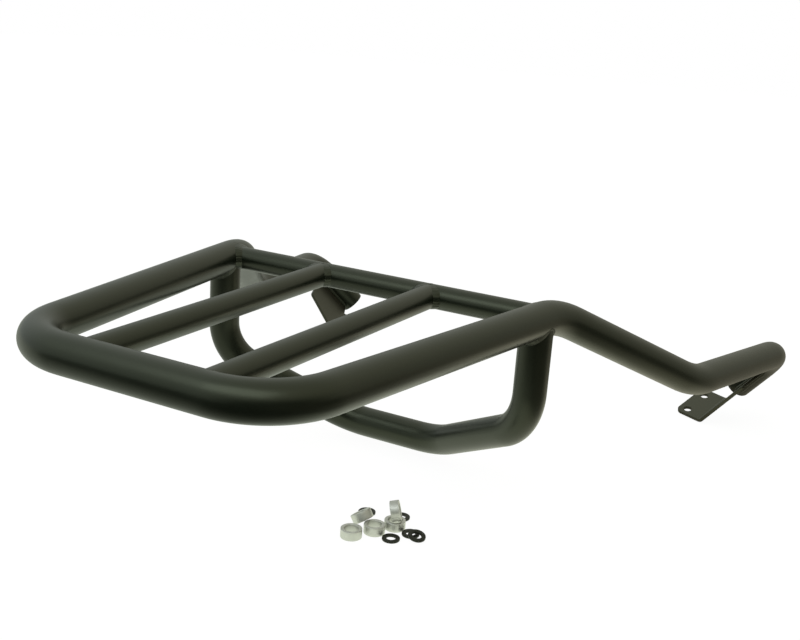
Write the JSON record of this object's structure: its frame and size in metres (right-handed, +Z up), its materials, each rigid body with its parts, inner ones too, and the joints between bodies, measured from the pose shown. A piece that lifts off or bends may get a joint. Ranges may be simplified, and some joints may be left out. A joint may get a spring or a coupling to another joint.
{
  "type": "rear luggage rack",
  "caption": "Welded tubular luggage carrier for the rear of a scooter: tapered deck, arms running forward to folded bracket plates, hoop under the deck, loose spacers and washers.",
  "frame": {"origin": "midway between the four fixing holes of the two bracket flanges, on the centre plane", "axes": "+X to the vehicle's right, +Y forward, +Z up, with the deck level"},
  "size_m": [0.521, 0.6238, 0.1604],
  "materials": {
    "tube_coat": "satin black powder coat on bent steel tube",
    "plate_coat": "satin black powder coat on folded steel plate",
    "weld_coat": "satin black powder coat over rippled weld beads",
    "spacer_metal": "bare turned aluminium",
    "washer_coat": "black-finished steel"
  },
  "bodies": {
    "rack": {"main_loop": "tube_coat", "front_crossbar": "tube_coat", "inner_rail_right": "tube_coat", "inner_rail_left": "tube_coat", "under_hoop": "tube_coat", "bracket_right": "plate_coat", "bracket_left": "plate_coat", "weld_crossbar_right": "weld_coat", "weld_crossbar_left": "weld_coat", "weld_hoop_right": "weld_coat", "weld_hoop_left": "weld_coat", "weld_rail_rear_right": "weld_coat", "weld_rail_rear_left": "weld_coat", "weld_rail_front_right": "weld_coat", "weld_rail_front_left": "weld_coat", "weld_bracket_inner_right": "weld_coat", "weld_bracket_inner_left": "weld_coat", "weld_bracket_outer_right": "weld_coat", "weld_bracket_outer_left": "weld_coat"},
    "spacer_1": {"spacer_1": "spacer_metal"},
    "spacer_2": {"spacer_2": "spacer_metal"},
    "spacer_3": {"spacer_3": "spacer_metal"},
    "spacer_4": {"spacer_4": "spacer_metal"},
    "spacer_5": {"spacer_5": "spacer_metal"},
    "washer_1": {"washer_1": "washer_coat"},
    "washer_2": {"washer_2": "washer_coat"},
    "washer_3": {"washer_3": "washer_coat"},
    "washer_4": {"washer_4": "washer_coat"},
    "washer_5": {"washer_5": "washer_coat"}
  },
  "joints": [
    {"name": "spacer_1_lift", "type": "slide", "parent": "rack", "child": "spacer_1", "axis": [0, 0, 1], "range_m": [0, 0.08]},
    {"name": "spacer_2_lift", "type": "slide", "parent": "rack", "child": "spacer_2", "axis": [0, 0, 1], "range_m": [0, 0.08]},
    {"name": "spacer_3_lift", "type": "slide", "parent": "rack", "child": "spacer_3", "axis": [0, 0, 1], "range_m": [0, 0.08]},
    {"name": "spacer_4_lift", "type": "slide", "parent": "spacer_2", "child": "spacer_4", "axis": [0, 0, 1], "range_m": [0, 0.08]},
    {"name": "spacer_5_lift", "type": "slide", "parent": "spacer_3", "child": "spacer_5", "axis": [0, 0, 1], "range_m": [0, 0.08]},
    {"name": "washer_1_lift", "type": "slide", "parent": "rack", "child": "washer_1", "axis": [0, 0, 1], "range_m": [0, 0.08]},
    {"name": "washer_2_lift", "type": "slide", "parent": "rack", "child": "washer_2", "axis": [0, 0, 1], "range_m": [0, 0.08]},
    {"name": "washer_3_lift", "type": "slide", "parent": "washer_2", "child": "washer_3", "axis": [0, 0, 1], "range_m": [0, 0.08]},
    {"name": "washer_4_lift", "type": "slide", "parent": "rack", "child": "washer_4", "axis": [0, 0, 1], "range_m": [0, 0.08]},
    {"name": "washer_5_lift", "type": "slide", "parent": "rack", "child": "washer_5", "axis": [0, 0, 1], "range_m": [0, 0.08]}
  ]
}
